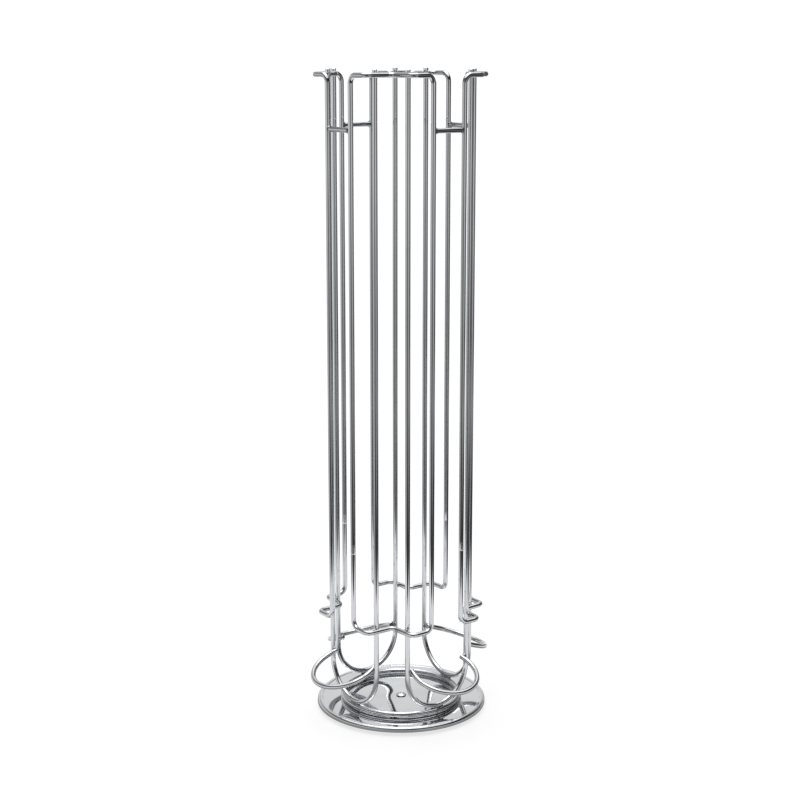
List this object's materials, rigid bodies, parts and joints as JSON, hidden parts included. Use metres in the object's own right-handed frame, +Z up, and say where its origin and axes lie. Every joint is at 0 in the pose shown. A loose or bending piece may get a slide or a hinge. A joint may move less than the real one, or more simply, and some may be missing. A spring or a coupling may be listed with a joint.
{
  "type": "revolving coffee capsule tower",
  "caption": "Free-standing revolving wire tower that stores round coffee capsules in four vertical lanes, with a tilted pick-up hoop below each lane.",
  "frame": {"origin": "on the turning axis, at the surface the foot pad stands on", "axes": "+Z up along the turning axis; lane 1 faces +X, lane 2 +Y, lane 3 -X and lane 4 -Y"},
  "size_m": [0.1462, 0.1462, 0.4503],
  "materials": {
    "wire_chrome": "bright chrome-plated steel wire",
    "plate_chrome": "mirror chrome-plated pressed steel",
    "rivet_chrome": "chrome-plated rivet",
    "zinc_plated_steel": "zinc-plated pressed steel",
    "ball_steel": "polished bearing steel",
    "white_nylon": "moulded nylon",
    "black_foam": "matt EVA foam"
  },
  "bodies": {
    "foot": {"foot_pad": "black_foam", "foot_plate": "zinc_plated_steel", "pivot_rivet": "rivet_chrome"},
    "bearing": {"ball_retainer": "white_nylon", "bearing_ball_01": "ball_steel", "bearing_ball_02": "ball_steel", "bearing_ball_03": "ball_steel", "bearing_ball_04": "ball_steel", "bearing_ball_05": "ball_steel", "bearing_ball_06": "ball_steel", "bearing_ball_07": "ball_steel", "bearing_ball_08": "ball_steel", "bearing_ball_09": "ball_steel", "bearing_ball_10": "ball_steel", "bearing_ball_11": "ball_steel", "bearing_ball_12": "ball_steel"},
    "carousel": {"base_plate": "plate_chrome", "base_ring": "wire_chrome", "lane_wire_1": "wire_chrome", "lane_wire_2": "wire_chrome", "lane_wire_3": "wire_chrome", "lane_wire_4": "wire_chrome", "corner_frame_1": "wire_chrome", "corner_frame_2": "wire_chrome", "corner_frame_3": "wire_chrome", "corner_frame_4": "wire_chrome", "front_crossbar_1": "wire_chrome", "front_crossbar_2": "wire_chrome", "front_crossbar_3": "wire_chrome", "front_crossbar_4": "wire_chrome", "cradle_hoop_1": "wire_chrome", "cradle_hoop_2": "wire_chrome", "cradle_hoop_3": "wire_chrome", "cradle_hoop_4": "wire_chrome"}
  },
  "joints": [
    {"name": "turntable_spin", "type": "hinge", "parent": "foot", "child": "carousel", "pos_m": [0, 0, 0], "axis": [0, 0, 1], "continuous": true},
    {"name": "retainer_spin", "type": "hinge", "parent": "foot", "child": "bearing", "pos_m": [0, 0, 0], "axis": [0, 0, 1], "continuous": true}
  ],
  "couplings": [
    {"joint": "retainer_spin", "follows": "turntable_spin", "ratio": 0.5}
  ]
}
